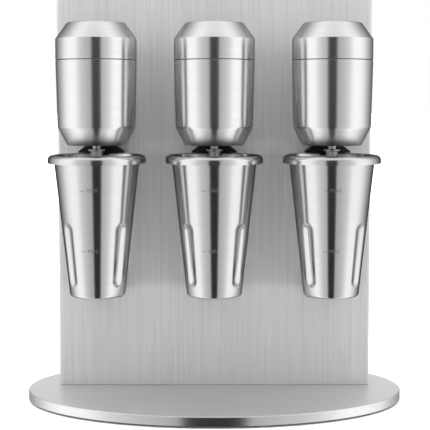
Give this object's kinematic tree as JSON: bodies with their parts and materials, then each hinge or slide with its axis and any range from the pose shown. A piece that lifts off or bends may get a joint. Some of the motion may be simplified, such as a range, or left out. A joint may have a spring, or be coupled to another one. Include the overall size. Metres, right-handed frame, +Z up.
{
  "type": "milkshake mixer",
  "caption": "Countertop milkshake mixer: brushed steel column on a flat oval base, with motor heads, spindles, start levers and tapered steel cups side by side.",
  "frame": {"origin": "on the floor under the middle of the oval base", "axes": "+Z up, the cups face -Y, +X to the right as seen from the front"},
  "size_m": [0.457, 0.254, 0.49],
  "materials": {
    "body_steel": "stainless sheet, straight fine grain",
    "head_steel": "stainless shell, turned and brushed round",
    "cup_steel": "stainless, satin, with a bright rim",
    "chrome": "bright plated, knurled body",
    "shaft_steel": "ground steel",
    "motor_iron": "varnished laminations",
    "painted_steel": "black primer",
    "zinc_steel": "zinc plated",
    "black_plastic": "fine satin moulding",
    "grey_plastic": "moulded",
    "rubber": "matt black"
  },
  "bodies": {
    "root": {"base_shell": "body_steel", "column_shell": "body_steel", "rear_cover": "body_steel", "base_weight": "painted_steel", "head_rail": "zinc_steel", "base_angle": "zinc_steel", "terminal_block": "grey_plastic", "power_inlet": "black_plastic", "foot_front_left": "rubber", "foot_front_right": "rubber", "foot_rear_left": "rubber", "foot_rear_right": "rubber", "motor_cap_left": "head_steel", "motor_housing_left": "head_steel", "motor_stator_left": "motor_iron", "upper_bearing_left": "shaft_steel", "lower_bearing_left": "shaft_steel", "head_bracket_left": "body_steel", "start_switch_left": "grey_plastic", "cup_rest_left": "black_plastic", "speed_switch_left": "black_plastic", "motor_cap_middle": "head_steel", "motor_housing_middle": "head_steel", "motor_stator_middle": "motor_iron", "upper_bearing_middle": "shaft_steel", "lower_bearing_middle": "shaft_steel", "head_bracket_middle": "body_steel", "start_switch_middle": "grey_plastic", "cup_rest_middle": "black_plastic", "speed_switch_middle": "black_plastic", "motor_cap_right": "head_steel", "motor_housing_right": "head_steel", "motor_stator_right": "motor_iron", "upper_bearing_right": "shaft_steel", "lower_bearing_right": "shaft_steel", "head_bracket_right": "body_steel", "start_switch_right": "grey_plastic", "cup_rest_right": "black_plastic", "speed_switch_right": "black_plastic"},
    "spindle_left": {"motor_rotor_left": "shaft_steel", "cooling_fan_left": "grey_plastic", "spindle_hub_left": "chrome", "agitator_left": "cup_steel"},
    "start_lever_left": {"start_lever_left": "black_plastic"},
    "cup_left": {"cup_left": "cup_steel"},
    "speed_rocker_left": {"speed_rocker_left": "black_plastic"},
    "spindle_middle": {"motor_rotor_middle": "shaft_steel", "cooling_fan_middle": "grey_plastic", "spindle_hub_middle": "chrome", "agitator_middle": "cup_steel"},
    "start_lever_middle": {"start_lever_middle": "black_plastic"},
    "cup_middle": {"cup_middle": "cup_steel"},
    "speed_rocker_middle": {"speed_rocker_middle": "black_plastic"},
    "spindle_right": {"motor_rotor_right": "shaft_steel", "cooling_fan_right": "grey_plastic", "spindle_hub_right": "chrome", "agitator_right": "cup_steel"},
    "start_lever_right": {"start_lever_right": "black_plastic"},
    "cup_right": {"cup_right": "cup_steel"},
    "speed_rocker_right": {"speed_rocker_right": "black_plastic"}
  },
  "joints": [
    {"name": "spindle_left_spin", "type": "hinge", "parent": "root", "child": "spindle_left", "pos_m": [-0.137, -0.057, 0.308], "axis": [0, 0, 1], "continuous": true},
    {"name": "start_lever_left_lift", "type": "slide", "parent": "root", "child": "start_lever_left", "axis": [0, 0, 1], "range_m": [0, 0.006], "stiffness_N_per_m": 300, "springref_m": -0.01},
    {"name": "cup_left_tilt", "type": "hinge", "parent": "start_lever_left", "child": "cup_left", "pos_m": [-0.137, -0.013, 0.3032], "axis": [1, 0, 0], "range_deg": [-6, 0]},
    {"name": "speed_rocker_left_rock", "type": "hinge", "parent": "root", "child": "speed_rocker_left", "pos_m": [-0.137, 0.0566, 0.432], "axis": [1, 0, 0], "range_deg": [-10, 10]},
    {"name": "spindle_middle_spin", "type": "hinge", "parent": "root", "child": "spindle_middle", "pos_m": [0, -0.057, 0.308], "axis": [0, 0, 1], "continuous": true},
    {"name": "start_lever_middle_lift", "type": "slide", "parent": "root", "child": "start_lever_middle", "axis": [0, 0, 1], "range_m": [0, 0.006], "stiffness_N_per_m": 300, "springref_m": -0.01},
    {"name": "cup_middle_tilt", "type": "hinge", "parent": "start_lever_middle", "child": "cup_middle", "pos_m": [0, -0.013, 0.3032], "axis": [1, 0, 0], "range_deg": [-6, 0]},
    {"name": "speed_rocker_middle_rock", "type": "hinge", "parent": "root", "child": "speed_rocker_middle", "pos_m": [0, 0.0566, 0.432], "axis": [1, 0, 0], "range_deg": [-10, 10]},
    {"name": "spindle_right_spin", "type": "hinge", "parent": "root", "child": "spindle_right", "pos_m": [0.137, -0.057, 0.308], "axis": [0, 0, 1], "continuous": true},
    {"name": "start_lever_right_lift", "type": "slide", "parent": "root", "child": "start_lever_right", "axis": [0, 0, 1], "range_m": [0, 0.006], "stiffness_N_per_m": 300, "springref_m": -0.01},
    {"name": "cup_right_tilt", "type": "hinge", "parent": "start_lever_right", "child": "cup_right", "pos_m": [0.137, -0.013, 0.3032], "axis": [1, 0, 0], "range_deg": [-6, 0]},
    {"name": "speed_rocker_right_rock", "type": "hinge", "parent": "root", "child": "speed_rocker_right", "pos_m": [0.137, 0.0566, 0.432], "axis": [1, 0, 0], "range_deg": [-10, 10]}
  ]
}
